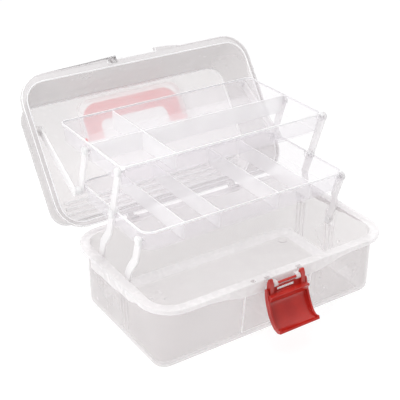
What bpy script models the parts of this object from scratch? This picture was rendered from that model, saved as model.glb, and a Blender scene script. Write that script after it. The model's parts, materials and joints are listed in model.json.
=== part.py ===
"""Clear plastic art supply box with two cantilever trays: a base tub, a hinged lid with a folding
handle, two trays on parallel arms, and a flip-up front latch. Metres, +Z up, the front faces -Y and
the origin is the centre of the footprint. The lid stands open and the trays are raised."""

import math

import bmesh
import bpy
from mathutils import Matrix, Vector

# Base tub
RIM_Z = 0.0854
RIM_HALF = (0.1500, 0.0895)  # opening at the rim
FLANGE_HALF = (0.1615, 0.1010)
FOOT_HALF = (0.1514, 0.0850)  # above the rounded bottom edge
FOOT_CORNER = 0.0160
BOTTOM_EDGE = 0.0110
BASE_WALL = 0.0024
SKIRT_Z = 0.0800
SKIRT_LINE = ((0.100, 0.0800), (0.086, 0.0786), (0.072, 0.0766), (0.062, 0.0736), (0.052, 0.0716), (0.044, 0.0710))
END_SKIRT = (  # (Y, Z) of the stepped deeper skirt at each end
    (0.046, 0.0810), (0.046, 0.0700), (0.030, 0.0700), (0.020, 0.0716), (-0.010, 0.0716),
    (-0.018, 0.0740), (-0.040, 0.0740), (-0.052, 0.0775), (-0.052, 0.0810),
)
PANEL_HALF = (0.0460, 0.0570)  # raised front panel: its face, and where it meets the wall
PANEL_PROUD = 0.0030
FEET = ((0.1340, 0.0695), (0.1340, -0.0670))
LUG_FACE_X = 0.1470  # inner face of the arm lugs on the end walls
SOCKET_X = -0.0385
SOCKET_Y = -0.0966

# Lid, measured from its hinge axis: V runs forward along the closed lid, W upwards from the axis
HINGE = Vector((0.0, 0.1000, 0.0820))
LID_TRAVEL = 124.4
LID_W = (0.0038, 0.0060)  # underside and top of the flange
LID_TOP_W = 0.0665
LID_WALL = 0.0018
LID_MOUTH = (0.1575, 0.0150, 0.1890)  # half length, rear V, front V at the opening
LID_PANEL = (0.1505, 0.0190, 0.1735)  # the same at the top panel
LID_FLANGE = (0.1650, 0.0075, 0.2000)
NOTCH_HALF = 0.0285
HINGE_X = 0.075
PIN_R = 0.0012
PANEL_RIBS_V = (0.0225, 0.0300, 0.0375, 0.0450)

# Carrying handle, in the lid's V and W
HANDLE_V = 0.116
HANDLE_W = 0.0622
HANDLE_HALF = 0.0700
HANDLE_REACH = 0.0445
HANDLE_LEG = 0.0200
HANDLE_BAR = 0.0235
HANDLE_T = 0.0064
POCKET = (0.0735, 0.1035, 0.1635, 0.0585)  # half length, rear V, front V, floor W

# Trays
TRAY_HALF = (0.1375, 0.0750)
TRAY_H = 0.0250
TRAY_WALL = 0.0015
LOWER_TRAY = (0.0375, 0.1453)  # centre Y and rim Z with the lid open
UPPER_TRAY = (0.0830, 0.2042)

# Arms: every arm leans forward by the same angle. Pivots are (Y, Z) with the lid open
LEAN = 72.03
LOWER_ARM = 0.0748
UPPER_ARM = 0.0598
MID_PIVOT = (0.0296, 0.1419)  # long arm on the lower tray
FRONT_PIVOT = (-0.0285, 0.1350)  # front arm on the lower tray
REAR_PIVOT = (0.1061, 0.1369)  # rear arm on the lower tray
LINK_V, LINK_W = 0.1344, 0.0170  # lid end of the lid link
ARM_HALF_W = 0.0050
INNER_X = (0.1382, 0.1408)  # arm beside a tray
OUTER_X = (0.1438, 0.1466)  # arm beside the base wall
LINK_X = (0.1470, 0.1496)
BORE_R = 0.0023
RIVET_R = 0.0020
RIVET_HEAD_R = 0.0052

# Latch, from its pivot bar
LATCH = Vector((0.0, -0.1050, 0.0785))
LATCH_HALF = 0.0275
LATCH_T = 0.0022
LATCH_LINE = (
    (0.0012, -0.0046), (0.0000, -0.0145), (-0.0030, -0.0245), (-0.0070, -0.0330),
    (-0.0120, -0.0405), (-0.0175, -0.0450), (-0.0235, -0.0465), (-0.0285, -0.0445),
)
EAR_X = (0.0190, 0.0240)
LATCH_LUG_X = (0.0130, 0.0180)

CORNER_STEPS = 6
PARTS = CUTTERS = None


def clear_scene():
    for obj in list(bpy.data.objects):
        bpy.data.objects.remove(obj, do_unlink=True)


def collection(name, hidden=False):
    made = bpy.data.collections.new(name)
    made.hide_render = hidden
    bpy.context.scene.collection.children.link(made)
    return made


def material(name, color, roughness):
    made = bpy.data.materials.new(name)
    made.use_nodes = True
    shader = made.node_tree.nodes["Principled BSDF"]
    shader.inputs["Base Color"].default_value = (*color, 1.0)
    shader.inputs["Roughness"].default_value = roughness
    return made


def finish_mesh(name, bm, skin=None):
    """An object from bm with outward normals. Without a skin it is a tool for a Boolean."""
    bmesh.ops.recalc_face_normals(bm, faces=bm.faces)
    mesh = bpy.data.meshes.new(name)
    bm.to_mesh(mesh)
    bm.free()
    obj = bpy.data.objects.new(name, mesh)
    if skin:
        mesh.materials.append(skin)
        PARTS.objects.link(obj)
    else:
        obj.hide_render = True
        obj.display_type = "WIRE"
        CUTTERS.objects.link(obj)
    return obj


def place(objects, where, angle=0.0):
    """Puts the objects' shared origin at a pivot, turned about X."""
    for obj in objects:
        obj.location = where
        obj.rotation_euler = (math.radians(angle), 0.0, 0.0)


def boolean(target, tool, operation, solver="EXACT"):
    modifier = target.modifiers.new(tool.name, "BOOLEAN")
    modifier.operation = operation
    modifier.solver = solver
    modifier.object = tool


def rounded_rect(half_x, y0, y1, radius, z):
    """Points round a rectangle with rounded corners, anticlockwise from the right end."""
    points = []
    corners = ((1, y1, -1, 0), (-1, y1, -1, 90), (-1, y0, 1, 180), (1, y0, 1, 270))
    for side, y, inward, start in corners:
        centre = Vector((side * (half_x - radius), y + inward * radius, z))
        for step in range(CORNER_STEPS + 1):
            turn = math.radians(start + 90 * step / CORNER_STEPS)
            points.append(centre + radius * Vector((math.cos(turn), math.sin(turn), 0)))
    return points


def add_loft(bm, loops):
    """Skins a closed body through loops of equal length, with flat ends."""
    rings = [[bm.verts.new(point) for point in loop] for loop in loops]
    count = len(rings[0])
    for lower, upper in zip(rings, rings[1:]):
        for i in range(count):
            j = (i + 1) % count
            bm.faces.new((lower[i], lower[j], upper[j], upper[i]))
    bm.faces.new(rings[0])
    bm.faces.new(rings[-1])


def add_box(bm, x, y, z):
    size = (x[1] - x[0], y[1] - y[0], z[1] - z[0])
    centre = Vector((sum(x) / 2, sum(y) / 2, sum(z) / 2))
    bmesh.ops.create_cube(bm, size=1.0, matrix=Matrix.Translation(centre) @ Matrix.Diagonal((*size, 1)))


def add_prism(bm, outline, x):
    """An outline in (Y, Z) carried from one X to another."""
    add_loft(bm, [[Vector((side, y, z)) for y, z in outline] for side in x])


def add_lathe(bm, profile, centre, segments=16):
    """Rings of (X, radius) about a line along X through centre (Y, Z)."""
    loops = []
    for x, radius in profile:
        loops.append([
            Vector((x, centre[0] + radius * math.cos(turn), centre[1] + radius * math.sin(turn)))
            for turn in (2 * math.pi * (i + 0.5) / segments for i in range(segments))
        ])
    add_loft(bm, loops)


def add_cylinder_x(bm, radius, x, centre, segments=16):
    add_lathe(bm, [(x[0], radius), (x[1], radius)], centre, segments)


def add_cylinder_z(bm, radius, x, y, z, segments=16):
    made = Matrix.Translation((x, y, (z[0] + z[1]) / 2))
    bmesh.ops.create_cone(
        bm, cap_ends=True, segments=segments, radius1=radius, radius2=radius,
        depth=z[1] - z[0], matrix=made,
    )


def tool(name, adders):
    """One hidden object holding several separate solids, for a Boolean."""
    bm = bmesh.new()
    for add, *values in adders:
        add(bm, *values)
    return finish_mesh(name, bm)


def span(side, x):
    return tuple(sorted((side * x[0], side * x[1])))


def along(pivot, length):
    """The (Y, Z) reached from a pivot by an arm of this length."""
    lean = math.radians(LEAN)
    return (pivot[0] - length * math.cos(lean), pivot[1] + length * math.sin(lean))


def base_wall_outer(z):
    """Outer half width of the base's long walls at a height."""
    t = (z - BOTTOM_EDGE) / (0.0829 - BOTTOM_EDGE)
    return FOOT_HALF[1] + t * (RIM_HALF[1] + BASE_WALL - FOOT_HALF[1])


def rounded_edge(radius):
    """(Inset, height) up a rounded bottom edge, from the flat underside to the wall."""
    turns = [math.radians(22.5 * step) for step in range(5)]
    return [(radius * (1 - math.sin(turn)), radius * (1 - math.cos(turn))) for turn in turns]


def make_base(skin):
    hx, hy = FOOT_HALF
    rx, ry = RIM_HALF
    fx, fy = FLANGE_HALF
    t = BASE_WALL
    rows = [(hx - i, hy - i, FOOT_CORNER - i, z) for i, z in rounded_edge(BOTTOM_EDGE)]
    rows += [  # half length, half width, corner radius, Z
        (rx + t, ry + t, 0.0284, 0.0829), (fx - 0.0022, fy - 0.0022, 0.0358, 0.0829),
        (fx - 0.0020, fy - 0.0020, 0.0360, SKIRT_Z), (fx, fy, 0.0380, SKIRT_Z),
        (fx, fy, 0.0380, 0.0847), (fx - 0.0007, fy - 0.0007, 0.0373, RIM_Z),
        (rx + 0.0007, ry + 0.0007, 0.0267, RIM_Z), (rx, ry, 0.0260, 0.0847),
    ]
    rows += [(hx - t - i, hy - t - i, FOOT_CORNER - t - i, t + z)
             for i, z in reversed(rounded_edge(BOTTOM_EDGE - t))]
    bm = bmesh.new()
    add_loft(bm, [rounded_rect(x, -y, y, r, z) for x, y, r, z in rows])
    base = finish_mesh("base_tub", bm, skin)

    feet = [(add_cylinder_z, 0.0060, side * x, y, (-0.0010, 0.0012)) for side in (-1, 1) for x, y in FEET]
    boolean(base, tool("base_feet", feet), "UNION")

    # Deeper skirt beside the latch and at the ends, and gussets between skirt and wall
    line = [(-x, z) for x, z in SKIRT_LINE] + [(x, z) for x, z in reversed(SKIRT_LINE)]
    line += [(0.100, SKIRT_Z + 0.001), (-0.100, SKIRT_Z + 0.001)]
    trim = [(add_front_plate, line, (-fy, -fy + 0.0020))]
    for side in (-1, 1):
        trim.append((add_prism, END_SKIRT, span(side, (fx - 0.0020, fx))))
        for x in (0.069, 0.110):
            trim.append((add_box, (side * x - 0.0006, side * x + 0.0006),
                         (-fy + 0.0010, -base_wall_outer(0.0800) + 0.0010), (0.0803, 0.0832)))
            trim.append((add_box, (side * x - 0.0006, side * x + 0.0006),
                         (base_wall_outer(0.0800) - 0.0010, fy - 0.0010), (0.0803, 0.0832)))
    boolean(base, tool("base_trim", trim), "UNION")
    boolean(base, tool("base_front_panel", [(add_front_panel,)]), "UNION", "MANIFOLD")

    # Lugs for the arms, with upright ribs below them
    lugs, ribs = [], []
    for side in (-1, 1):
        for y, z in (along(FRONT_PIVOT, -LOWER_ARM), along(MID_PIVOT, -LOWER_ARM)):
            lugs.append((add_box, span(side, (LUG_FACE_X, 0.1515)), (y - 0.0085, y + 0.0085),
                         (z - 0.0090, z + 0.0100)))
            rib = ((LUG_FACE_X, z - 0.0080), (0.1474, 0.0125), (0.1495, 0.0125), (0.1503, z - 0.0080))
            for dy in (-0.0070, 0.0, 0.0070):
                ribs.append((add_rib, side, rib, (y + dy - 0.0006, y + dy + 0.0006)))
    boolean(base, tool("base_arm_lugs", lugs), "UNION")
    boolean(base, tool("base_lug_ribs", ribs), "UNION", "MANIFOLD")

    hinge = []
    for side in (-1, 1):
        for x in ((HINGE_X - 0.0120, HINGE_X - 0.0055), (HINGE_X + 0.0055, HINGE_X + 0.0120)):
            hinge.append((add_cylinder_x, 0.0034, span(side, x), (HINGE.y, HINGE.z)))
        hinge.append((add_prism, latch_lug_outline(), span(side, LATCH_LUG_X)))
    boolean(base, tool("base_knuckles", hinge), "UNION")

    cuts = [(add_cylinder_z, 0.0031, SOCKET_X, SOCKET_Y, (0.0765, 0.0900))]
    for side in (-1, 1):
        cuts.append((add_box, span(side, (HINGE_X - 0.0053, HINGE_X + 0.0053)), (0.0948, 0.1060), (0.0700, 0.0900)))
        cuts.append((add_box, span(side, (EAR_X[0] - 0.0007, EAR_X[1] + 0.0007)), (-0.1060, -0.0966), (0.0680, 0.0900)))
        for pivot in (FRONT_PIVOT, MID_PIVOT):
            cuts.append((add_cylinder_x, BORE_R, span(side, (0.1400, 0.1514)), along(pivot, -LOWER_ARM)))
    boolean(base, tool("base_cuts", cuts), "DIFFERENCE", "MANIFOLD")
    bores = []
    for side in (-1, 1):
        for x in ((HINGE_X - 0.0130, HINGE_X - 0.0050), (HINGE_X + 0.0050, HINGE_X + 0.0130)):
            bores.append((add_cylinder_x, PIN_R + 0.0003, span(side, x), (HINGE.y, HINGE.z), 14))
        bores.append((add_cylinder_x, 0.0018, span(side, (LATCH_LUG_X[0] - 0.001, LATCH_LUG_X[1] + 0.001)),
                      (LATCH.y, LATCH.z), 14))
    boolean(base, tool("base_bores", bores), "DIFFERENCE", "MANIFOLD")
    return base


def add_rib(bm, side, outline, y):
    """An outline in (|X|, Z) carried from one Y to another, on the left or right."""
    add_loft(bm, [[Vector((side * x, at, z)) for x, z in outline] for at in y])


def add_front_plate(bm, outline, y):
    """An outline in (X, Z) carried from one Y to another."""
    add_loft(bm, [[Vector((x, at, z)) for x, z in outline] for at in y])


def add_front_panel(bm):
    """A shallow raised panel with sloping borders on the front wall, running up into the flange."""
    face, foot = PANEL_HALF
    loops = []
    for half, low, proud in ((foot + 0.0037, 0.0120, -0.0010), (face, 0.0155, PANEL_PROUD)):
        corners = ((-half, low), (half, low), (half, 0.0836), (-half, 0.0836))
        loops.append([Vector((x, -base_wall_outer(min(z, 0.0829)) - proud, z)) for x, z in corners])
    add_loft(bm, loops)


def latch_lug_outline():
    """Side view of the lug that holds the latch's pivot bar: a round eye on a web."""
    eye = []
    for step in range(9):
        turn = math.radians(90 + 180 * step / 8)
        eye.append((LATCH.y + 0.0034 * math.cos(turn), LATCH.z + 0.0034 * math.sin(turn)))
    return eye + [(-0.1000, LATCH.z - 0.0034), (-0.1000, LATCH.z + 0.0034)]


def lid_loop(half_x, v0, v1, radius, w):
    return rounded_rect(half_x, -v1, -v0, radius, w)


def make_lid(skin):
    w0, w1 = LID_W
    mx, mr, mf = LID_MOUTH
    px, pr, pf = LID_PANEL
    fx, fr, ff = LID_FLANGE
    t = LID_WALL
    rows = (  # half length, rear V, front V, corner radius, W
        (px - 0.0110, pr + 0.0110, pf - 0.0110, 0.0090, LID_TOP_W),
        (px - 0.0004, pr + 0.0004, pf - 0.0004, 0.0196, LID_TOP_W),
        (px + t - 0.0004, pr - t + 0.0004, pf + t - 0.0004, 0.0214, LID_TOP_W - 0.0018),
        (mx + t, mr - t, mf + t, 0.0268, w1),
        (fx - 0.0016, fr + 0.0016, ff - 0.0016, 0.0334, w1),
        (fx - 0.0015, fr + 0.0015, ff - 0.0015, 0.0335, w1 + 0.0035),
        (fx, fr, ff, 0.0350, w1 + 0.0035), (fx, fr, ff, 0.0350, w0),
        (mx + 0.0005, mr - 0.0005, mf + 0.0005, 0.0255, w0),
        (mx, mr, mf, 0.0250, w0 + 0.0005),
        (px, pr, pf, 0.0200, LID_TOP_W - 0.0034),
        (px - 0.0016, pr + 0.0016, pf - 0.0016, 0.0184, LID_TOP_W - t),
        (px - 0.0110, pr + 0.0110, pf - 0.0110, 0.0090, LID_TOP_W - t),
    )
    bm = bmesh.new()
    add_loft(bm, [lid_loop(*row) for row in rows])
    lid = finish_mesh("lid_shell", bm, skin)
    made = [lid]

    def add(name, adders, operation):
        piece = tool(name, adders)
        boolean(lid, piece, operation)
        made.append(piece)

    hx, v0, v1, floor = POCKET
    add("lid_pocket_walls", [(add_pocket, (hx + t, v0 - t, v1 + t), (floor - t, LID_TOP_W - 0.0006), 0.0138)],
        "UNION")
    # Ribs along the hinge side of the top panel, link brackets, flange bulges, locating peg, knuckles
    ribs = [(add_box, (-0.130, 0.130), (-v - 0.0016, -v + 0.0016), (LID_TOP_W - t - 0.0025, LID_TOP_W - t + 0.0008))
            for v in PANEL_RIBS_V]
    for side in (-1, 1):
        ribs.append((add_cylinder_x, 0.0060, span(side, (0.1500, 0.1572)), (-LINK_V, LINK_W)))
        ribs.append((add_bulge, side))
        ribs.append((add_cylinder_x, 0.0044, span(side, (HINGE_X - 0.0050, HINGE_X + 0.0050)), (0.0, 0.0)))
    add("lid_additions", ribs, "UNION")
    add("lid_peg", [(add_cylinder_z, 0.0024, SOCKET_X, SOCKET_Y - HINGE.y, (-0.0045, w0 + 0.0012))], "UNION")
    for name, y, low in (("lid_hinge_webs", (-0.0036, 0.0038), 0.0010), ("lid_hinge_leaves", (-0.0100, -0.0030), w0)):
        webs = [(add_box, span(side, (HINGE_X - 0.0050, HINGE_X + 0.0050)), y, (low, w1)) for side in (-1, 1)]
        add(name, webs, "UNION")

    cuts = [
        (add_pocket, (hx, v0, v1), (floor, LID_TOP_W + 0.010), 0.0120),
        (add_box, (-NOTCH_HALF, NOTCH_HALF), (-0.2100, -0.1984), (-0.001, w1 + 0.010)),
        (add_box, (-0.0350, -0.0292), (-0.2010, -0.1945), (-0.001, w1 + 0.005)),
    ]
    for side in (-1, 1):
        cuts.append((add_cylinder_x, BORE_R, span(side, (0.1480, 0.1538)), (-LINK_V, LINK_W)))
        cuts.append((add_cylinder_x, PIN_R + 0.0003, span(side, (HINGE_X - 0.0060, HINGE_X + 0.0060)), (0.0, 0.0), 14))
    add("lid_cuts", cuts, "DIFFERENCE")
    add("lid_handle_holes", [(add_cylinder_x, 0.0028, span(side, (hx - 0.002, hx + 0.004)), (-HANDLE_V, HANDLE_W))
                             for side in (-1, 1)], "DIFFERENCE")
    place(made, HINGE, -LID_TRAVEL)
    return lid


def add_pocket(bm, plan, w, radius):
    half_x, v0, v1 = plan
    add_loft(bm, [lid_loop(half_x, v0, v1, radius, level) for level in w])


def add_bulge(bm, side):
    """The flange swells towards the latch notch."""
    plan = ((0.0700, -0.1990), (0.0700, -0.1995), (0.0440, -0.2030), (0.0270, -0.2035), (0.0270, -0.1990))
    add_loft(bm, [[Vector((side * x, y, w)) for x, y in plan] for w in (LID_W[0], LID_W[1] + 0.0035)])


def make_tray(name, where, cross, lengthwise, pivots, radii, skin):
    """A tray in world place: cross dividers by X, an optional divider along it, and pivot bosses."""
    hx, hy = TRAY_HALF
    y, rim = where
    t = TRAY_WALL
    inset = 0.0030
    r0, r1 = radii
    rows = (  # inset of the outer face, corner radius, Z
        (inset + 0.0012, r0 - 0.0012, rim - TRAY_H), (inset, r0, rim - TRAY_H + 0.0012),
        (0.0010, r1 - 0.0010, rim - 0.0024), (0.0002, r1 - 0.0002, rim - 0.0018),
        (0.0002, r1 - 0.0002, rim), (t + 0.0002, r1 - t - 0.0002, rim),
        (inset + t, r0 - t + 0.0002, rim - TRAY_H + 0.0030),
        (inset + t + 0.0012, r0 - t - 0.0008, rim - TRAY_H + t),
    )
    bm = bmesh.new()
    add_loft(bm, [rounded_rect(hx - i, y - hy + i, y + hy - i, r, z) for i, r, z in rows])
    tray = finish_mesh(name, bm, skin)
    floor, top = rim - TRAY_H + 0.0007, rim - 0.0012
    walls = [(add_divider, x, (y, rim), (floor, top)) for x in cross]
    boolean(tray, tool(name + "_cross_dividers", walls), "UNION")
    if lengthwise:
        wall = [(add_length_divider, (y, rim), (floor, top))]
        boolean(tray, tool(name + "_length_divider", wall), "UNION")
    bosses, holes = [], []
    for side in (-1, 1):
        for pivot in pivots:
            bosses.append((add_cylinder_x, 0.0052, span(side, (0.1330, 0.1378)), pivot))
            holes.append((add_cylinder_x, BORE_R, span(side, (0.1300, 0.1400)), pivot))
    boolean(tray, tool(name + "_bosses", bosses), "UNION")
    boolean(tray, tool(name + "_holes", holes), "DIFFERENCE")
    return tray


def tray_inner(z, rim, half):
    """Half size of a tray's inside, plus a little bite into the wall, at a height."""
    down = min(max((rim - z) / TRAY_H, 0.0), 1.0)
    return half - TRAY_WALL - 0.0003 - 0.0030 * down + 0.0007


def add_divider(bm, x, where, z):
    y, rim = where
    outline = []
    for level, side in ((z[0], -1), (z[0], 1), (z[1], 1), (z[1], -1)):
        outline.append((y + side * tray_inner(level, rim, TRAY_HALF[1]), level))
    add_prism(bm, outline, (x - 0.0006, x + 0.0006))


def add_length_divider(bm, where, z):
    y, rim = where
    outline = []
    for level, side in ((z[0], -1), (z[0], 1), (z[1], 1), (z[1], -1)):
        outline.append((side * tray_inner(level, rim, TRAY_HALF[0]), level))
    add_loft(bm, [[Vector((x, at, level)) for x, level in outline] for at in (y - 0.0006, y + 0.0006)])


def make_strip(name, side, ends, x_line, bores, skin):
    """A flat arm with round ends. It lies along local Y between ends; x_line gives (Y, inner X, outer X)
    stations, and the arm is straight between them."""
    def x_at(y):
        for (ya, *a), (yb, *b) in zip(x_line, x_line[1:]):
            if y <= yb:
                f = max((y - ya) / (yb - ya), 0.0)
                return [p + f * (q - p) for p, q in zip(a, b)]
        return list(x_line[-1][1:])

    r = ARM_HALF_W
    stations = []
    for step in range(1, 8):
        turn = math.radians(90 * step / 7)
        stations.append((ends[0] - r * math.cos(turn), r * math.sin(turn)))
    stations += [(y, r) for y, *_ in x_line if ends[0] < y < ends[1]]
    stations += [(ends[0] + ends[1] - y, half) for y, half in reversed(stations[:7])]
    loops = []
    for y, half in stations:
        inner, outer = x_at(y)
        loops.append([Vector((side * inner, y, -half)), Vector((side * outer, y, -half)),
                      Vector((side * outer, y, half)), Vector((side * inner, y, half))])
    bm = bmesh.new()
    add_loft(bm, loops)
    strip = finish_mesh(name, bm, skin)
    holes = [(add_cylinder_x, BORE_R, span(side, (0.1300, 0.1550)), (y, 0.0)) for y in bores]
    cutter = tool(name + "_bores", holes)
    boolean(strip, cutter, "DIFFERENCE")
    return [strip, cutter]


def make_arms(side, tag, skin):
    far = 0.030
    joggle = (((-1.0, *OUTER_X), (-far - 0.014, *OUTER_X), (-far, *INNER_X), (1.0, *INNER_X)))
    upright = 180.0 - LEAN
    lower_joggle = [(y + LOWER_ARM, *x) for y, *x in joggle]
    made = make_strip(f"long_arm_{tag}", side, (0.0, LOWER_ARM + UPPER_ARM), lower_joggle,
                      (0.0, LOWER_ARM, LOWER_ARM + UPPER_ARM), skin)
    place(made, Vector((0.0, *along(MID_PIVOT, -LOWER_ARM))), upright)
    made = make_strip(f"front_arm_{tag}", side, (0.0, LOWER_ARM), lower_joggle, (0.0, LOWER_ARM), skin)
    place(made, Vector((0.0, *along(FRONT_PIVOT, -LOWER_ARM))), upright)
    made = make_strip(f"rear_arm_{tag}", side, (0.0, UPPER_ARM), ((-1.0, *INNER_X), (1.0, *INNER_X)),
                      (0.0, UPPER_ARM), skin)
    place(made, Vector((0.0, *REAR_PIVOT)), upright)


def link_ends():
    """Lid end of the lid link in world (Y, Z), its length, and its direction in degrees."""
    open_by = math.radians(-LID_TRAVEL)
    y = HINGE.y - LINK_V * math.cos(open_by) - LINK_W * math.sin(open_by)
    z = HINGE.z - LINK_V * math.sin(open_by) + LINK_W * math.cos(open_by)
    dy, dz = REAR_PIVOT[0] - y, REAR_PIVOT[1] - z
    return (y, z), math.hypot(dy, dz), math.degrees(math.atan2(dz, dy))


def make_link(side, tag, skin):
    start, length, direction = link_ends()
    made = make_strip(f"lid_link_{tag}", side, (0.0, length), ((-1.0, *LINK_X), (1.0, *LINK_X)), (0.0,), skin)
    boss = tool(f"lid_link_{tag}_boss", [(add_lathe, [
        (side * 0.1485, 0.0038), (side * 0.1502, 0.0038), (side * 0.1507, 0.0028)], (length, 0.0))])
    boolean(made[0], boss, "UNION")
    place(made + [boss], Vector((0.0, *start)), direction)


def make_rivet(name, side, centre, tip, neck, head, skin):
    """A push-in pivot rivet along X: tip is its far end, neck where the head starts, head its crown."""
    out = 1 if head > neck else -1
    profile = [(tip, RIVET_R - 0.0003), (tip + out * 0.0004, RIVET_R), (neck, RIVET_R),
               (neck, RIVET_HEAD_R), (head - out * 0.0006, RIVET_HEAD_R), (head, RIVET_HEAD_R - 0.0010)]
    bm = bmesh.new()
    add_lathe(bm, [(side * x, r) for x, r in profile], (0.0, 0.0), 14)
    rivet = finish_mesh(name, bm, skin)
    place([rivet], Vector((0.0, *centre)))
    return rivet


def make_rivets(side, tag, skin):
    long_foot, front_foot = along(MID_PIVOT, -LOWER_ARM), along(FRONT_PIVOT, -LOWER_ARM)
    make_rivet(f"base_rivet_rear_{tag}", side, long_foot, 0.1511, 0.1435, 0.1420, skin)
    make_rivet(f"base_rivet_front_{tag}", side, front_foot, 0.1511, 0.1435, 0.1420, skin)
    make_rivet(f"lower_tray_rivet_mid_{tag}", side, MID_PIVOT, 0.1340, 0.1411, 0.1428, skin)
    make_rivet(f"lower_tray_rivet_front_{tag}", side, FRONT_PIVOT, 0.1340, 0.1411, 0.1428, skin)
    make_rivet(f"lower_tray_rivet_rear_{tag}", side, REAR_PIVOT, 0.1340, 0.1411, 0.1467, skin)
    make_rivet(f"upper_tray_rivet_front_{tag}", side, along(MID_PIVOT, UPPER_ARM), 0.1340, 0.1411, 0.1428, skin)
    make_rivet(f"upper_tray_rivet_rear_{tag}", side, along(REAR_PIVOT, UPPER_ARM), 0.1340, 0.1411, 0.1428, skin)
    make_rivet(f"lid_rivet_{tag}", side, link_ends()[0], 0.1535, 0.1467, 0.1451, skin)


def make_hinge_pins(skin):
    for side, tag in ((-1, "left"), (1, "right")):
        bm = bmesh.new()
        add_cylinder_x(bm, PIN_R, span(side, (HINGE_X - 0.0128, HINGE_X + 0.0128)), (0.0, 0.0), 14)
        place([finish_mesh(f"hinge_pin_{tag}", bm, skin)], HINGE)


def make_latch(skin):
    """A finger plate with raised cheeks, hung on a pivot bar between two ears. Its front has the catch ridge."""
    half, t, cheek = LATCH_HALF, LATCH_T / 2, 0.0022
    rise = (0.0020, 0.0040, 0.0046, 0.0046, 0.0042, 0.0034, 0.0026, 0.0018)
    loops = []
    for i, point in enumerate(LATCH_LINE):
        before, after = Vector(LATCH_LINE[max(i - 1, 0)]), Vector(LATCH_LINE[min(i + 1, len(LATCH_LINE) - 1)])
        run = (after - before).normalized()
        front = Vector((run.y, -run.x))
        section = ((-half, -t), (half, -t), (half, t + rise[i]), (half - cheek, t + rise[i]), (half - cheek, t),
                   (cheek - half, t), (cheek - half, t + rise[i]), (-half, t + rise[i]))
        loops.append([Vector((x, *(Vector(point) + front * out))) for x, out in section])
    bm = bmesh.new()
    add_loft(bm, loops)
    latch = finish_mesh("latch", bm, skin)
    made = [latch]

    def add(name, adders, operation):
        piece = tool(name, adders)
        boolean(latch, piece, operation)
        made.append(piece)

    ridge = ((0.0003, -0.0105), (-0.0096, -0.0092), (-0.0101, -0.0102), (-0.0054, -0.0195), (-0.0013, -0.0203))
    add("latch_ridge", [(add_prism, ridge, (-half + 0.0015, half - 0.0015))], "UNION")
    ear = ((0.0022, -0.0105), (0.0032, -0.0020), (0.0032, 0.0018), (0.0012, 0.0072), (-0.0010, 0.0072),
           (-0.0032, 0.0018), (-0.0034, -0.0020), (-0.0040, -0.0105))
    add("latch_ears", [(add_prism, ear, span(side, EAR_X)) for side in (-1, 1)], "UNION")
    add("latch_window", [(add_box, (-0.0120, 0.0120), (-0.0022, 0.0060), (-0.0100, -0.0060))], "DIFFERENCE")
    add("latch_bar", [(add_cylinder_x, 0.0015, (-EAR_X[1] + 0.001, EAR_X[1] - 0.001), (0.0, 0.0), 14)], "UNION")
    place(made, LATCH)


def make_handle(skin):
    """A flat bail with rounded corners: local origin on its pivots, the grip towards the lid's front."""
    hx, leg, t, heel = HANDLE_HALF, HANDLE_LEG, HANDLE_T / 2, 0.0010

    def outline(half, top, corner):
        points = []
        for side, start in ((1, 0), (-1, 90)):
            for step in range(CORNER_STEPS + 1):
                turn = math.radians(start + 90 * step / CORNER_STEPS)
                points.append((side * (half - corner) + corner * math.cos(turn),
                               -(top - corner) - corner * math.sin(turn)))
        return points

    outer, inner = outline(hx, HANDLE_REACH, 0.0200), outline(hx - leg, HANDLE_REACH - HANDLE_BAR, 0.0100)
    bm = bmesh.new()
    loops = []
    for a, b in zip([(hx, heel)] + outer + [(-hx, heel)], [(hx - leg, heel)] + inner + [(-hx + leg, heel)]):
        mid = ((a[0] + b[0]) / 2, (a[1] + b[1]) / 2)
        loops.append([Vector((*a, -t + 0.0014)), Vector((*a, t - 0.0014)),
                      Vector((mid[0] + 0.6 * (a[0] - mid[0]), mid[1] + 0.6 * (a[1] - mid[1]), t)),
                      Vector((mid[0] + 0.6 * (b[0] - mid[0]), mid[1] + 0.6 * (b[1] - mid[1]), t)),
                      Vector((*b, t - 0.0014)), Vector((*b, -t + 0.0014)),
                      Vector((mid[0] + 0.6 * (b[0] - mid[0]), mid[1] + 0.6 * (b[1] - mid[1]), -t)),
                      Vector((mid[0] + 0.6 * (a[0] - mid[0]), mid[1] + 0.6 * (a[1] - mid[1]), -t))])
    add_loft(bm, loops)
    handle = finish_mesh("handle", bm, skin)
    ends = []
    for side in (-1, 1):
        ends.append((add_lathe, [(side * (hx - leg + 0.0006), t), (side * (hx - 0.0003), t),
                                 (side * (hx - 0.0003), 0.0025), (side * (POCKET[0] + 0.0024), 0.0025)], (0.0, 0.0)))
    pivots = tool("handle_pivots", ends)
    boolean(handle, pivots, "UNION")
    where = HINGE + Matrix.Rotation(math.radians(-LID_TRAVEL), 3, "X") @ Vector((0.0, -HANDLE_V, HANDLE_W))
    place([handle, pivots], where, -LID_TRAVEL)


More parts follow.
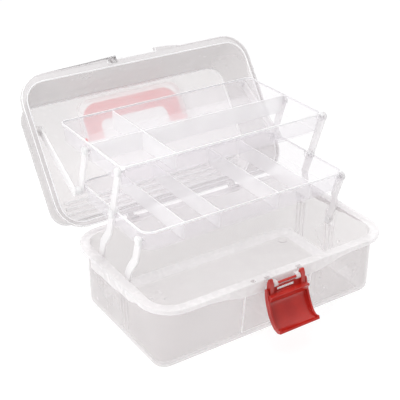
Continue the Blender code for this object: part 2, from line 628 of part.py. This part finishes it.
def build():
    global PARTS, CUTTERS
    clear_scene()
    PARTS = collection("art_supply_box")
    CUTTERS = collection("cutters", hidden=True)
    clear = material("clear_polypropylene", (0.86, 0.86, 0.87), 0.25)
    tray = material("clear_tray_plastic", (0.84, 0.84, 0.88), 0.22)
    natural = material("natural_polypropylene", (0.90, 0.90, 0.91), 0.35)
    red = material("red_latch_plastic", (0.80, 0.09, 0.06), 0.30)
    red_handle = material("red_handle_plastic", (0.80, 0.05, 0.09), 0.30)

    make_base(clear)
    make_lid(clear)
    lower = (FRONT_PIVOT, MID_PIVOT, REAR_PIVOT)
    make_tray("lower_tray", LOWER_TRAY, (-0.0865, -0.0400, 0.0400, 0.0865), False, lower, (0.012, 0.014), tray)
    upper = (along(MID_PIVOT, UPPER_ARM), along(REAR_PIVOT, UPPER_ARM))
    make_tray("upper_tray", UPPER_TRAY, (-0.0680,), True, upper, (0.006, 0.008), tray)
    for side, tag in ((-1, "left"), (1, "right")):
        make_arms(side, tag, natural)
        make_link(side, tag, natural)
        make_rivets(side, tag, natural)
    make_hinge_pins(natural)
    make_latch(red)
    make_handle(red_handle)


build()
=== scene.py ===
"""Looks for the clear art supply box: milky polypropylene shells with softened edges that carry a painted
highlight, painted shade on the lid's side walls, red latch and handle, a plain white studio and the camera."""

import json
import math

import bmesh
import bpy
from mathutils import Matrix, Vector

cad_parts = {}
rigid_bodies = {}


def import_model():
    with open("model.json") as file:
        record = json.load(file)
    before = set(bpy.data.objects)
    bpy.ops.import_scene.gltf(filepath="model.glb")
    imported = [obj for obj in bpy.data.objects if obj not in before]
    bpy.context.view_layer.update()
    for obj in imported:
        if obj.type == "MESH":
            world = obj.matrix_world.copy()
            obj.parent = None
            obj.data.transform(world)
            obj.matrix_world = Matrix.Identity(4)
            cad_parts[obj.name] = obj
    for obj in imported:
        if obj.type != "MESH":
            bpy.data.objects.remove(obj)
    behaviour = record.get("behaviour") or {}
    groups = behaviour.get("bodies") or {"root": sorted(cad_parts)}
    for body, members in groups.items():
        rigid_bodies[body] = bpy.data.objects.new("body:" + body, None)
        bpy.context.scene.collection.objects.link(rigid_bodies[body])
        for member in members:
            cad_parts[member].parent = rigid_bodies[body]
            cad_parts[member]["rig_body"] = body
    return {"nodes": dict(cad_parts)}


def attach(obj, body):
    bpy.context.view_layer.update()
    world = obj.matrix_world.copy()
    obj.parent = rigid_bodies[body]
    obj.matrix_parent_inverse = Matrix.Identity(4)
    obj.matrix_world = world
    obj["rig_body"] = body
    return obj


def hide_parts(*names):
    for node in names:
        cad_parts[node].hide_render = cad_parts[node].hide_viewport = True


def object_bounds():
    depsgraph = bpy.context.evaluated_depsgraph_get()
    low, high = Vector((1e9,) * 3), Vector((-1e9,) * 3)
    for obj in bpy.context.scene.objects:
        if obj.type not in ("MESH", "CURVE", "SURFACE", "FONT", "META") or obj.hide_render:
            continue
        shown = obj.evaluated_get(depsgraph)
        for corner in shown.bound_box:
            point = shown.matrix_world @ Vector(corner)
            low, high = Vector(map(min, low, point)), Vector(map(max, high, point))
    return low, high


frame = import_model()
cad_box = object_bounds()

CAMERA_AT = (-0.5450, -0.7665, 0.6280)
CAMERA_AIM = (0.4836, 0.7397, -0.4680)
LENS_MM = 83.1
SENSOR_MM = 36.0
BOX_MIDDLE = Vector((0.0, 0.0, 0.1))
WHITE = (1.0, 1.0, 1.0, 1.0)


# ---------------------------------------------------------------- materials
NOISE_ROUGHNESS = 0.55
NOISE_LOW, NOISE_HIGH = 0.3, 0.7  # nearly all values of a noise lie between these
GLOW_STRENGTH = 0.13
GRAZING_POWER = 3.0


def new_material(name):
    made = bpy.data.materials.new(name)
    made.use_nodes = True
    tree = made.node_tree
    tree.nodes.clear()
    return made, tree


def node(tree, kind, **inputs):
    """A new node with some inputs set. An underscore in a keyword stands for a space in the input's name."""
    made = tree.nodes.new(kind)
    for key, value in inputs.items():
        made.inputs[key.replace("_", " ")].default_value = value
    return made


def noise(tree, scale, detail):
    coords = node(tree, "ShaderNodeTexCoord")
    made = node(tree, "ShaderNodeTexNoise", Scale=scale, Detail=detail, Roughness=NOISE_ROUGHNESS)
    tree.links.new(coords.outputs["Object"], made.inputs["Vector"])
    return made.outputs["Fac"]


def ramp(tree, value, low, high, start=0.0, end=1.0):
    made = node(tree, "ShaderNodeMapRange", From_Min=start, From_Max=end, To_Min=low, To_Max=high)
    tree.links.new(value, made.inputs["Value"])
    return made.outputs["Result"]


def vary(tree, value, low, high):
    """A noise's value spread from low to high."""
    return ramp(tree, value, low, high, NOISE_LOW, NOISE_HIGH)


def maths(tree, operation, a, b):
    made = node(tree, "ShaderNodeMath")
    made.operation = operation
    for slot, value in zip(made.inputs, (a, b)):
        if isinstance(value, (int, float)):
            slot.default_value = value
        else:
            tree.links.new(value, slot)
    return made.outputs[0]


def two_tone(tree, value, dark, light):
    made = tree.nodes.new("ShaderNodeMix")
    made.data_type = "RGBA"
    made.inputs["A"].default_value = (*dark, 1.0)
    made.inputs["B"].default_value = (*light, 1.0)
    tree.links.new(value, made.inputs["Factor"])
    return made.outputs["Result"]


def bump_from(tree, value, strength, distance):
    made = node(tree, "ShaderNodeBump", Strength=strength, Distance=distance)
    tree.links.new(value, made.inputs["Height"])
    return made.outputs["Normal"]


def milky(name, tint, dark, light, face, edge, roughness, glow=None):
    """Clear plastic with haze: face is how much a surface seen square-on hides, edge the same at a glancing
    angle. The haze varies a little, as the flow of the moulding leaves it. glow is a weak light of the
    piece's own, in place of the light that a coloured piece passes on from behind."""
    made, tree = new_material(name)
    out = tree.nodes.new("ShaderNodeOutputMaterial")
    clear = node(tree, "ShaderNodeBsdfTransparent", Color=(*tint, 1.0))
    milk = node(tree, "ShaderNodeBsdfPrincipled", Specular_IOR_Level=0.55)
    flow = noise(tree, 9.0, 2.0)
    grain = noise(tree, 120.0, 2.0)
    tree.links.new(two_tone(tree, vary(tree, flow, 0.0, 1.0), dark, light), milk.inputs["Base Color"])
    tree.links.new(vary(tree, grain, roughness * 0.9, roughness * 1.15), milk.inputs["Roughness"])
    if glow:
        milk.inputs["Emission Color"].default_value = (*glow, 1.0)
        milk.inputs["Emission Strength"].default_value = GLOW_STRENGTH
    tree.links.new(bump_from(tree, grain, 0.02, 0.0002), milk.inputs["Normal"])
    facing = node(tree, "ShaderNodeLayerWeight", Blend=0.5)
    grazing = maths(tree, "POWER", facing.outputs["Facing"], GRAZING_POWER)
    hide = ramp(tree, grazing, face, edge)
    patchy = maths(tree, "MULTIPLY", hide, vary(tree, flow, 0.82, 1.18))
    mix = tree.nodes.new("ShaderNodeMixShader")
    tree.links.new(patchy, mix.inputs["Fac"])
    tree.links.new(clear.outputs[0], mix.inputs[1])
    tree.links.new(milk.outputs[0], mix.inputs[2])
    tree.links.new(mix.outputs[0], out.inputs["Surface"])
    return made


def opaque(name, dark, light, roughness, coat):
    """Solid moulded plastic with a fine satin grain and a faint change of tone."""
    made, tree = new_material(name)
    out = tree.nodes.new("ShaderNodeOutputMaterial")
    body = node(
        tree,
        "ShaderNodeBsdfPrincipled",
        Specular_IOR_Level=0.5,
        Coat_Weight=coat,
        Coat_Roughness=0.2,
        Subsurface_Weight=0.08,
        Subsurface_Radius=(0.004, 0.001, 0.001),
    )
    flow = noise(tree, 30.0, 2.0)
    grain = noise(tree, 900.0, 4.0)
    tree.links.new(two_tone(tree, vary(tree, flow, 0.0, 1.0), dark, light), body.inputs["Base Color"])
    tree.links.new(vary(tree, grain, roughness * 0.8, roughness * 1.25), body.inputs["Roughness"])
    tree.links.new(bump_from(tree, grain, 0.16, 0.0003), body.inputs["Normal"])
    tree.links.new(body.outputs[0], out.inputs["Surface"])
    return made


base_skin = milky(
    "clear_base", (0.952, 0.943, 0.943), (0.70, 0.68, 0.68), (0.82, 0.80, 0.80),
    face=0.23, edge=0.66, roughness=0.24,
)
# Painted highlight: a paler, less clear skin for the base's rim, skirts, lug ribs and up-facing floor
# rounding.
painted_rim_highlight = milky(
    "clear_base_painted_highlight", (0.970, 0.964, 0.966), (0.90, 0.885, 0.89), (0.99, 0.975, 0.98),
    face=0.42, edge=0.80, roughness=0.26,
)
lid_skin = milky(
    "clear_lid", (0.966, 0.958, 0.959), (0.86, 0.845, 0.845), (0.96, 0.945, 0.945),
    face=0.34, edge=0.70, roughness=0.24,
)
# Painted shade: a darker, greyer skin for the lid's tall side walls.
lid_painted_shade = milky(
    "clear_lid_side_shade", (0.930, 0.918, 0.919), (0.62, 0.60, 0.60), (0.73, 0.71, 0.71),
    face=0.36, edge=0.70, roughness=0.24,
)
lid_rim = milky(
    "clear_lid_rim", (0.945, 0.936, 0.938), (0.68, 0.66, 0.665), (0.79, 0.77, 0.775),
    face=0.38, edge=0.70, roughness=0.26,
)
lid_pocket = milky(
    "clear_lid_pocket", (0.990, 0.985, 0.987), (0.95, 0.94, 0.94), (1.0, 0.99, 0.99),
    face=0.44, edge=0.80, roughness=0.24,
)
# Painted highlight: a near-white, nearly opaque skin for the rounded edges, mouth and creases of the shells.
shell_painted_highlight = milky(
    "clear_shell_highlight_skin", (0.99, 0.99, 0.99), (0.90, 0.895, 0.90), (0.96, 0.955, 0.96),
    face=0.84, edge=0.95, roughness=0.30,
)
tray_skin = milky(
    "clear_tray", (0.980, 0.975, 0.980), (0.88, 0.87, 0.885), (0.96, 0.95, 0.965),
    face=0.09, edge=0.60, roughness=0.18,
)
tray_web = milky(
    "clear_tray_divider", (0.990, 0.987, 0.990), (0.94, 0.935, 0.945), (1.0, 0.995, 1.0),
    face=0.36, edge=0.80, roughness=0.22,
)
# Painted highlight: a nearly opaque skin for the trays' rims and rounded edges.
tray_painted_highlight = milky(
    "clear_tray_rim_highlight", (0.99, 0.99, 0.992), (0.88, 0.875, 0.885), (0.95, 0.945, 0.955),
    face=0.86, edge=0.95, roughness=0.28,
)
natural = milky(
    "natural_arm", (1.0, 0.997, 0.998), (0.93, 0.92, 0.925), (0.99, 0.98, 0.985),
    face=0.62, edge=0.88, roughness=0.32,
)
natural_edge = milky(
    "natural_arm_edge", (0.99, 0.99, 0.99), (0.90, 0.895, 0.90), (0.97, 0.965, 0.97),
    face=0.76, edge=0.92, roughness=0.34,
)
red = opaque(
    "red_latch", (0.36, 0.010, 0.006), (0.50, 0.020, 0.012),
    roughness=0.22, coat=0.30,
)
red_handle = milky(
    "red_handle", (1.0, 0.46, 0.51), (0.80, 0.03, 0.05), (0.90, 0.045, 0.07),
    face=0.42, edge=0.84, roughness=0.26, glow=(1.0, 0.14, 0.19),
)


# ---------------------------------------------------------------- pieces
WALL, EDGE, RIM, SIDE, POCKET = 0, 1, 2, 3, 4

# Base, in metres: what lies outside these half sizes is rim, and so is what lies above the height.
BASE_WALL_X, BASE_WALL_Y, BASE_RIM_Z = 0.1585, 0.0985, 0.0796
LUG_RIB_X, LUG_RIB_FOOT_Z = (0.1468, 0.1485, 0.1504), 0.0118
ROUNDING_Z, ROUNDING_RISE = (0.0023, 0.0112), 0.0004

# The raised panel's face at the front of the base.
PANEL_Y, PANEL_HALF_X, PANEL_FOOT_Z = -0.0860, 0.0460, 0.0155
PANEL_SIDE_Z = (0.0150, 0.0840)

# Lid: how it stands open, then heights over its mouth and reaches from its hinge.
LID_HINGE = Vector((0.0, 0.1000, 0.0820))
LID_TURN = math.radians(124.4)
FLANGE_UNDERSIDE, FLANGE_STEP, FLANGE_TOP = 0.0038, 0.0043, 0.0098
CREASE_FROM, CREASE_LINE, CREASE_TO = 0.0620, 0.0624, 0.0649
RIBS_FROM, RIBS_TO = 0.0640, 0.0660
UPRIGHT = 0.0010
TALL = 0.02
POCKET_HALF_X, POCKET_REACH = 0.0757, (0.1014, 0.1656)

# Trays: half sizes inside the outer walls, and what counts as a divider's upright face.
TRAY_INNER_X, TRAY_INNER_Y = 0.128, 0.066
TRAY_RIM_DEPTH = 0.0030
DIVIDER_TILT, DIVIDER_AREA = 0.3, 4e-6
LOWER_TRAY, UPPER_TRAY = (0.1453, 0.0375), (0.2042, 0.0830)  # each one's top and the Y of its centre

WELD = 2e-6
FLAT = math.radians(0.6)
BORDER = 0.0012
CREASE_WIDTH = 0.0006
ROUNDED_FROM = math.radians(28)
SHARP_FROM = math.radians(38)


def base_class(face):
    """The rim, its skirts, the arm lugs with their ribs, and the up-facing rounding round the floor get a
    paler skin: a painted highlight.
    """
    points = [vert.co for vert in face.verts]
    far = min(max(abs(p.x) / BASE_WALL_X, abs(p.y) / BASE_WALL_Y) for p in points)
    # Painted highlight on the rim and on the skirts outside the walls.
    if min(p.z for p in points) > BASE_RIM_Z or far >= 1.0:
        return RIM
    out = [abs(p.x) for p in points]
    level = [p.z for p in points]
    # Painted highlight on the arm lugs and their ribs.
    rib_from, rib_to, rib_end = LUG_RIB_X
    if rib_from < min(out) < rib_to and max(out) < rib_end and min(level) > LUG_RIB_FOOT_Z:
        return RIM
    # Painted highlight on the up-facing faces of the rounding round the floor.
    in_reach = ROUNDING_Z[0] < min(level) and max(level) < ROUNDING_Z[1]
    rounding = in_reach and max(level) - min(level) > ROUNDING_RISE
    return RIM if rounding and face.normal.z > 0.1 else WALL


def panel_crease(point):
    """On the outline of the raised panel's face, at the front of the base, where a painted highlight line
    runs.
    """
    beside = abs(abs(point.x) - PANEL_HALF_X) < 0.0002
    on_side = beside and PANEL_SIDE_Z[0] < point.z < PANEL_SIDE_Z[1]
    on_foot = abs(point.x) < PANEL_HALF_X + 0.0002 and abs(point.z - PANEL_FOOT_Z) < 0.0003
    return point.y < PANEL_Y and (on_side or on_foot)


def lid_height(point):
    """How far a point of the open lid is from the lid's mouth."""
    back = point - LID_HINGE
    return back.y * math.sin(LID_TURN) + back.z * math.cos(LID_TURN)


def lid_reach(point):
    """How far a point of the open lid is from its hinge, along the lid."""
    back = point - LID_HINGE
    return back.z * math.sin(LID_TURN) - back.y * math.cos(LID_TURN)


def lid_underside(face):
    """The flat underside of the lid's flange."""
    return all(abs(lid_height(vert.co) - FLANGE_UNDERSIDE) < 0.0002 for vert in face.verts)


def lid_class(face):
    """Flange, side walls with painted shade, and handle pocket. The mouth, the panel's crease and its ribs
    get painted highlight lines.
    """
    heights = [lid_height(vert.co) for vert in face.verts]
    reaches = [lid_reach(vert.co) for vert in face.verts]
    low, high = min(heights), max(heights)
    if high < FLANGE_TOP:
        at_mouth = abs(high - FLANGE_STEP) < 0.0001 and abs(low - FLANGE_UNDERSIDE) < 0.0001
        return EDGE if at_mouth else RIM
    if low > CREASE_FROM and high < CREASE_TO and (high - low > UPRIGHT or high < CREASE_LINE):
        return EDGE
    if low > RIBS_FROM and high > RIBS_TO and high - low > UPRIGHT:
        return EDGE
    narrow = max(abs(vert.co.x) for vert in face.verts) < POCKET_HALF_X
    if narrow and min(reaches) > POCKET_REACH[0] and max(reaches) < POCKET_REACH[1]:
        return POCKET
    # The tall side walls take the painted shade skin.
    return SIDE if high - low > TALL else WALL


def tray_class(top, centre):
    """Sorts a tray's faces: the rim gets a painted highlight, and dividers are the upright faces well inside
    the walls.
    """

    def sort(face):
        # Painted highlight along the rim.
        if all(vert.co.z > top - TRAY_RIM_DEPTH for vert in face.verts):
            return EDGE
        middle = face.calc_center_median()
        inside = abs(middle.x) < TRAY_INNER_X and abs(middle.y - centre) < TRAY_INNER_Y
        upright = abs(face.normal.z) < DIVIDER_TILT and face.calc_area() > DIVIDER_AREA
        return RIM if inside and upright else WALL

    return sort


def softened(cad_name, piece_name, skins, width, sort=None, lines=None, inset=None):
    """A copy of a CAD node with its moulded edges rounded. sort picks one of the skins for each face, lines
    says which points lie on shallow creases that get a painted highlight line too, and inset which faces get
    a painted highlight border."""
    source = frame["nodes"][cad_name]
    bm = bmesh.new()
    bm.from_mesh(source.data)
    bmesh.ops.remove_doubles(bm, verts=bm.verts, dist=WELD)
    bmesh.ops.dissolve_limit(bm, angle_limit=FLAT, verts=bm.verts, edges=bm.edges)
    bmesh.ops.recalc_face_normals(bm, faces=bm.faces)
    for face in bm.faces:
        face.material_index = sort(face) if sort else WALL
    mesh = bpy.data.meshes.new(piece_name)
    # A band round the inset faces takes the painted highlight skin.
    if inset:
        band = [face for face in bm.faces if inset(face)]
        border = bmesh.ops.inset_region(bm, faces=band, thickness=BORDER, use_even_offset=True)
        for face in border["faces"]:
            face.material_index = EDGE
    # Shallow creases are bevelled into thin faces that take the painted highlight skin.
    if lines:
        edges = [edge for edge in bm.edges if all(lines(vert.co) for vert in edge.verts)]
        bmesh.ops.bevel(bm, geom=edges, offset=CREASE_WIDTH, segments=1, affect="EDGES", material=EDGE)
    bm.to_mesh(mesh)
    bm.free()
    for skin in skins:
        mesh.materials.append(skin)
    piece = bpy.data.objects.new(piece_name, mesh)
    bpy.context.scene.collection.objects.link(piece)
    bevel = piece.modifiers.new("moulded_edges", "BEVEL")
    bevel.width = width
    bevel.segments = 2
    bevel.limit_method = "ANGLE"
    bevel.angle_limit = ROUNDED_FROM
    bevel.use_clamp_overlap = True
    # The rounded faces take the second skin, which on the shells and trays is a painted highlight.
    bevel.material = EDGE
    mesh.shade_smooth()
    mesh.set_sharp_from_angle(angle=SHARP_FROM)
    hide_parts(cad_name)
    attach(piece, source["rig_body"])


BASE = (base_skin, shell_painted_highlight, painted_rim_highlight)
LID = (lid_skin, shell_painted_highlight, lid_rim, lid_painted_shade, lid_pocket)
TRAY = (tray_skin, tray_painted_highlight, tray_web)
ARM = (natural, natural_edge)
softened("base_tub", "base_tub_moulding", BASE, 0.0007, base_class, panel_crease)
softened("lid_shell", "lid_moulding", LID, 0.0006, lid_class, None, lid_underside)
softened("lower_tray", "lower_tray_moulding", TRAY, 0.0005, tray_class(*LOWER_TRAY))
softened("upper_tray", "upper_tray_moulding", TRAY, 0.0005, tray_class(*UPPER_TRAY))
softened("latch", "latch_moulding", (red, red), 0.0004)
softened("handle", "handle_moulding", (red_handle, red_handle), 0.0005)
for side in ("left", "right"):
    for stem in ("long_arm", "front_arm", "rear_arm", "lid_link"):
        softened(f"{stem}_{side}", f"{stem}_{side}_moulding", ARM, 0.0004)
for name, obj in frame["nodes"].items():
    if "rivet" in name or "hinge_pin" in name:
        obj.data.shade_smooth()
        obj.data.set_sharp_from_angle(angle=SHARP_FROM)
        for slot in obj.material_slots:
            slot.material = natural_edge


# ---------------------------------------------------------------- studio
def studio_world():
    """Pure white to the camera, and a soft grey sky, darker below, to everything else."""
    world = bpy.data.worlds.new("studio")
    world.use_nodes = True
    bpy.context.scene.world = world
    tree = world.node_tree
    tree.nodes.clear()
    out = tree.nodes.new("ShaderNodeOutputWorld")
    seen = node(tree, "ShaderNodeBackground", Color=WHITE, Strength=1.0)
    light = node(tree, "ShaderNodeBackground", Strength=1.0)
    coords = tree.nodes.new("ShaderNodeTexCoord")
    split = tree.nodes.new("ShaderNodeSeparateXYZ")
    tree.links.new(coords.outputs["Generated"], split.inputs[0])
    height = ramp(tree, split.outputs["Z"], 0.0, 1.0, -0.1, 0.9)
    sky = two_tone(tree, height, (0.38, 0.38, 0.385), (0.85, 0.85, 0.85))
    tree.links.new(sky, light.inputs["Color"])
    path = tree.nodes.new("ShaderNodeLightPath")
    mix = tree.nodes.new("ShaderNodeMixShader")
    tree.links.new(path.outputs["Is Camera Ray"], mix.inputs["Fac"])
    tree.links.new(light.outputs[0], mix.inputs[1])
    tree.links.new(seen.outputs[0], mix.inputs[2])
    tree.links.new(mix.outputs[0], out.inputs["Surface"])


def studio_floor():
    """A large white sheet just under the feet, which glows a little so that it blends into the background."""
    bm = bmesh.new()
    bmesh.ops.create_grid(bm, x_segments=1, y_segments=1, size=4.0)
    mesh = bpy.data.meshes.new("studio_floor")
    bm.to_mesh(mesh)
    bm.free()
    floor = bpy.data.objects.new("studio_floor", mesh)
    floor.location = (0.0, 0.0, cad_box[0][2] - 0.0002)
    bpy.context.scene.collection.objects.link(floor)
    made, tree = new_material("white_floor")
    out = tree.nodes.new("ShaderNodeOutputMaterial")
    body = node(
        tree,
        "ShaderNodeBsdfPrincipled",
        Roughness=0.9,
        Specular_IOR_Level=0.0,
        Base_Color=(0.35, 0.35, 0.35, 1.0),
        Emission_Color=WHITE,
        Emission_Strength=0.72,
    )
    tree.links.new(body.outputs[0], out.inputs["Surface"])
    mesh.materials.append(made)


def area_light(name, where, size, power):
    """A square softbox that faces the middle of the box."""
    data = bpy.data.lights.new(name, "AREA")
    data.shape = "SQUARE"
    data.size = size
    data.energy = power
    lamp = bpy.data.objects.new(name, data)
    lamp.location = where
    lamp.rotation_euler = (BOX_MIDDLE - Vector(where)).to_track_quat("-Z", "Y").to_euler()
    bpy.context.scene.collection.objects.link(lamp)


def place_camera():
    data = bpy.data.cameras.new("camera")
    data.lens = LENS_MM
    data.sensor_width = SENSOR_MM
    camera = bpy.data.objects.new("camera", data)
    camera.location = CAMERA_AT
    camera.rotation_euler = Vector(CAMERA_AIM).to_track_quat("-Z", "Y").to_euler()
    bpy.context.scene.collection.objects.link(camera)
    bpy.context.scene.camera = camera


studio_world()
studio_floor()
area_light("overhead_softbox", (-0.10, 0.15, 1.5), 1.0, 7.0)
area_light("key_softbox", (-1.4, -0.5, 0.9), 0.6, 8.5)
area_light("fill_softbox", (1.3, -0.2, 0.9), 0.8, 1.2)
place_camera()

scene = bpy.context.scene
scene.view_settings.view_transform = "Standard"
scene.cycles.transparent_max_bounces = 96
scene.cycles.max_bounces = 8
scene.cycles.caustics_reflective = False
scene.cycles.caustics_refractive = False
scene.cycles.sample_clamp_indirect = 6.0
